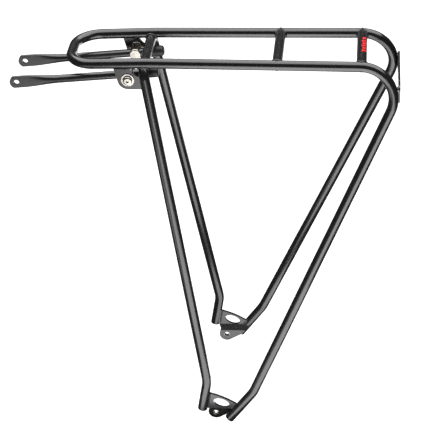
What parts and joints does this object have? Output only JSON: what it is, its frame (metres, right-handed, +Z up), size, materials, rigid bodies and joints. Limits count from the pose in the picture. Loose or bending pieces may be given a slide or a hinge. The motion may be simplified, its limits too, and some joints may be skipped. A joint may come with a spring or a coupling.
{
  "type": "rear rack",
  "caption": "Bicycle rear rack: welded tube platform on splayed legs with lower eyelets, a lamp bracket, and sliding stays held in pivoting clamp eyes.",
  "frame": {"origin": "midway between the two lower eyelets, on the axis of their holes", "axes": "+X to the rear of the bicycle, +Y to its right, +Z up"},
  "size_m": [0.3809, 0.1664, 0.4054],
  "materials": {
    "frame_black": "satin powder coat",
    "stay_black": "satin powder coat",
    "bright_steel": "bright plated",
    "cap_black": "moulded, soft sheen"
  },
  "bodies": {
    "root": {"front_hoop": "frame_black", "front_cross_tube": "frame_black", "middle_cross_tube": "frame_black", "rear_cross_tube": "frame_black", "light_bracket": "frame_black", "left_rail": "frame_black", "left_rear_leg": "frame_black", "left_front_leg": "frame_black", "left_dropout": "frame_black", "left_eyelet_collar": "frame_black", "left_clamp_plate": "frame_black", "right_rail": "frame_black", "right_rear_leg": "frame_black", "right_front_leg": "frame_black", "right_dropout": "frame_black", "right_eyelet_collar": "frame_black", "right_clamp_plate": "frame_black"},
    "left_clamp": {"left_clamp_eye": "bright_steel", "left_inner_washer": "bright_steel", "left_outer_washer": "bright_steel", "left_clamp_screw": "bright_steel"},
    "left_stay_bar": {"left_stay": "stay_black", "left_stay_cap": "cap_black"},
    "right_clamp": {"right_clamp_eye": "bright_steel", "right_inner_washer": "bright_steel", "right_outer_washer": "bright_steel", "right_clamp_screw": "bright_steel"},
    "right_stay_bar": {"right_stay": "stay_black", "right_stay_cap": "cap_black"}
  },
  "joints": [
    {"name": "left_clamp_pivot", "type": "hinge", "parent": "root", "child": "left_clamp", "pos_m": [-0.0767, -0.035, 0.3754], "axis": [0, 1, 0], "range_deg": [0, 7]},
    {"name": "left_stay_slide", "type": "slide", "parent": "left_clamp", "child": "left_stay_bar", "axis": [0.9959, 0, 0.0906], "range_m": [-0.01, 0.05]},
    {"name": "right_clamp_pivot", "type": "hinge", "parent": "root", "child": "right_clamp", "pos_m": [-0.0767, 0.035, 0.3754], "axis": [0, 1, 0], "range_deg": [0, 7]},
    {"name": "right_stay_slide", "type": "slide", "parent": "right_clamp", "child": "right_stay_bar", "axis": [0.9959, 0, 0.0906], "range_m": [-0.01, 0.05]}
  ]
}
